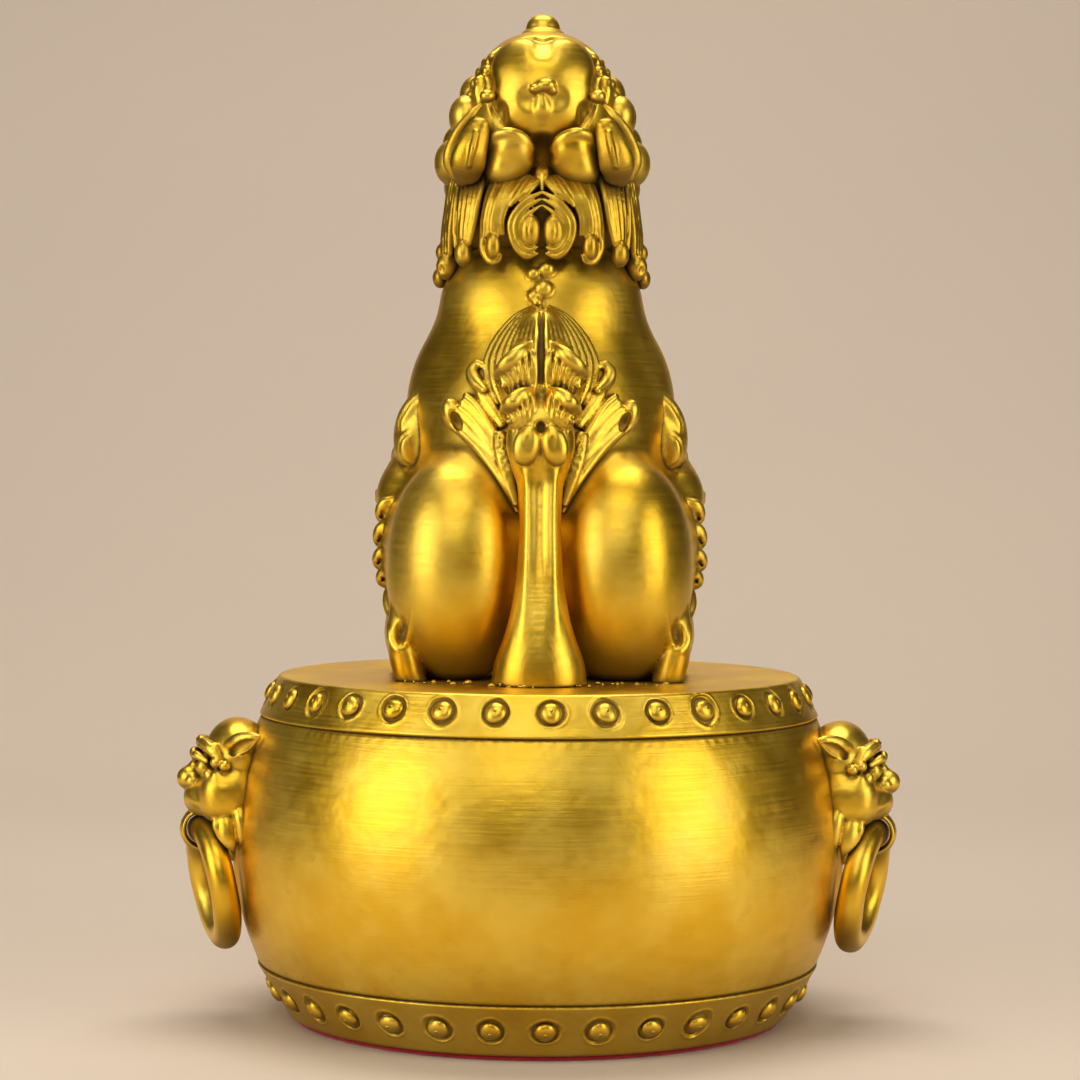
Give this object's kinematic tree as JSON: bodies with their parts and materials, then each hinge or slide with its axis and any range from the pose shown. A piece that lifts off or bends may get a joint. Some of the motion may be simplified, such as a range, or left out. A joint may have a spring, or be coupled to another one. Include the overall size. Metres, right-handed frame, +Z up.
{
  "type": "guardian lion statue",
  "caption": "Cast brass guardian lion seated on a drum-shaped base, with beast-mask handles whose rings swing, and a felt pad underneath.",
  "frame": {"origin": "centre of the felt pad's underside, on the surface the statue stands on", "axes": "+Z up; the lion faces -Y; +X is towards the left mask handle, on the lion's own left"},
  "size_m": [0.1428, 0.1222, 0.2012],
  "materials": {
    "cast_brass": "satin, brushed",
    "relief_brass": "satin with dark recesses",
    "dull_brass": "as cast",
    "steel_screw": "plain",
    "red_felt": "felt"
  },
  "bodies": {
    "statue": {"drum_barrel": "cast_brass", "drum_top_cap": "cast_brass", "drum_bottom_ring": "cast_brass", "drum_base_plate": "dull_brass", "felt_pad": "red_felt", "upper_drum_nails": "relief_brass", "lower_drum_nails": "relief_brass", "base_plate_screws": "steel_screw", "mask_screws": "steel_screw", "lion_torso": "cast_brass", "lion_head": "cast_brass", "left_ear": "relief_brass", "right_ear": "relief_brass", "mane_fringe": "relief_brass", "left_hind_leg": "cast_brass", "right_hind_leg": "cast_brass", "left_foreleg": "cast_brass", "right_foreleg": "cast_brass", "tail": "relief_brass", "brocade_ball": "relief_brass", "collar_strap": "relief_brass", "collar_bell": "relief_brass", "fixing_bridge": "dull_brass", "fixing_screws": "steel_screw", "left_mask": "relief_brass", "right_mask": "relief_brass"},
    "left_ring_body": {"left_ring": "relief_brass"},
    "right_ring_body": {"right_ring": "relief_brass"}
  },
  "joints": [
    {"name": "left_ring_swing", "type": "hinge", "parent": "statue", "child": "left_ring_body", "pos_m": [0.06617, 0.01048, 0.0381], "axis": [0.2924, -0.9563, 0], "range_deg": [0, 82]},
    {"name": "right_ring_swing", "type": "hinge", "parent": "statue", "child": "right_ring_body", "pos_m": [-0.06617, 0.01048, 0.0381], "axis": [0.2924, 0.9563, 0], "range_deg": [0, 82]}
  ]
}
